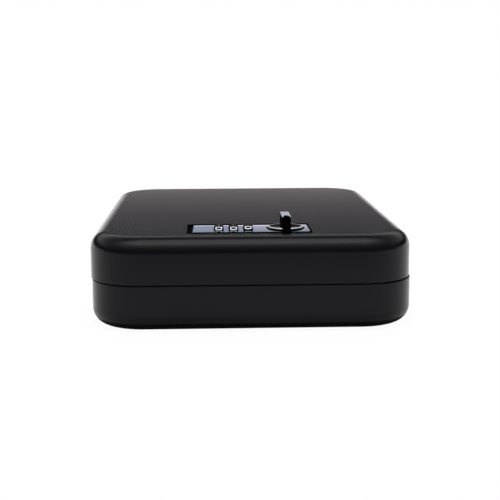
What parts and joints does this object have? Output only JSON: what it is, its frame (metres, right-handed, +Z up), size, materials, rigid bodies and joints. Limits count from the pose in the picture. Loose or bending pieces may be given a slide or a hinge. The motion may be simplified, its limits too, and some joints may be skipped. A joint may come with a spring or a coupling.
{
  "type": "portable car safe",
  "caption": "Flat hinged steel box with rounded corners, a dial combination lock in its lid, and a turn knob that swings a cam under a catch.",
  "frame": {"origin": "on the ground under the middle of the base", "axes": "+X to the right of a user at the lock, +Y towards the hinges, +Z up"},
  "size_m": [0.1805, 0.2422, 0.06],
  "materials": {
    "black_powder_coat": "satin black powder coat",
    "black_foam": "closed-cell foam",
    "zinc_steel": "zinc plated",
    "black_rubber": "moulded",
    "black_cast_zinc": "painted die casting",
    "bright_plate": "polished with a bluish plate",
    "black_dial": "gloss with white figures",
    "lock_brass": "turned",
    "spring_steel": "bright",
    "black_gloss_zinc": "gloss black"
  },
  "bodies": {
    "base": {"base_shell": "black_powder_coat", "base_rim_band": "black_powder_coat", "base_foam_liner": "black_foam", "catch_bracket": "zinc_steel", "catch_rivet_1": "zinc_steel", "catch_rivet_2": "zinc_steel", "cable_grommet": "black_rubber", "cable_anchor_post": "zinc_steel", "hinge_base_leaf_left": "black_powder_coat", "hinge_base_leaf_right": "black_powder_coat", "hinge_pin_left": "zinc_steel", "hinge_pin_right": "zinc_steel"},
    "lid": {"hinge_lid_leaf_left": "black_powder_coat", "hinge_lid_leaf_right": "black_powder_coat", "lid_shell": "black_powder_coat", "lid_foam_liner": "black_foam", "lock_nut_1": "zinc_steel", "lock_nut_2": "zinc_steel", "lock_nut_3": "zinc_steel", "lock_nut_4": "zinc_steel", "lock_housing": "black_cast_zinc", "lock_face_plate": "bright_plate", "lock_back_cover": "black_cast_zinc", "cover_screw_1": "zinc_steel", "cover_screw_2": "zinc_steel", "cover_screw_3": "zinc_steel", "cover_screw_4": "zinc_steel", "dial_shaft": "zinc_steel", "fence": "lock_brass", "fence_spring": "spring_steel", "detent_spring": "spring_steel"},
    "knob_group": {"knob": "black_gloss_zinc", "knob_spindle": "zinc_steel", "spindle_washer": "spring_steel", "latch_cam": "zinc_steel", "cam_screw": "zinc_steel"},
    "dial_1": {"number_wheel_1": "black_dial", "gate_ring_1": "lock_brass"},
    "dial_2": {"number_wheel_2": "black_dial", "gate_ring_2": "lock_brass"},
    "dial_3": {"number_wheel_3": "black_dial", "gate_ring_3": "lock_brass"},
    "code_lever": {"reset_lever": "zinc_steel"}
  },
  "joints": [
    {"name": "lid_hinge", "type": "hinge", "parent": "base", "child": "lid", "pos_m": [0, 0.12, 0.02575], "axis": [-1, 0, 0], "range_deg": [0, 105]},
    {"name": "knob_turn", "type": "hinge", "parent": "lid", "child": "knob_group", "pos_m": [0.0194, -0.0872, 0.0522], "axis": [0, 0, -1], "range_deg": [0, 90]},
    {"name": "dial_1_turn", "type": "hinge", "parent": "lid", "child": "dial_1", "pos_m": [-0.0184, -0.0895, 0.0454], "axis": [1, 0, 0], "continuous": true},
    {"name": "dial_2_turn", "type": "hinge", "parent": "lid", "child": "dial_2", "pos_m": [-0.01015, -0.0895, 0.0454], "axis": [1, 0, 0], "continuous": true},
    {"name": "dial_3_turn", "type": "hinge", "parent": "lid", "child": "dial_3", "pos_m": [-0.0019, -0.0895, 0.0454], "axis": [1, 0, 0], "continuous": true},
    {"name": "code_lever_slide", "type": "slide", "parent": "lid", "child": "code_lever", "axis": [1, 0, 0], "range_m": [0, 0.003]}
  ]
}
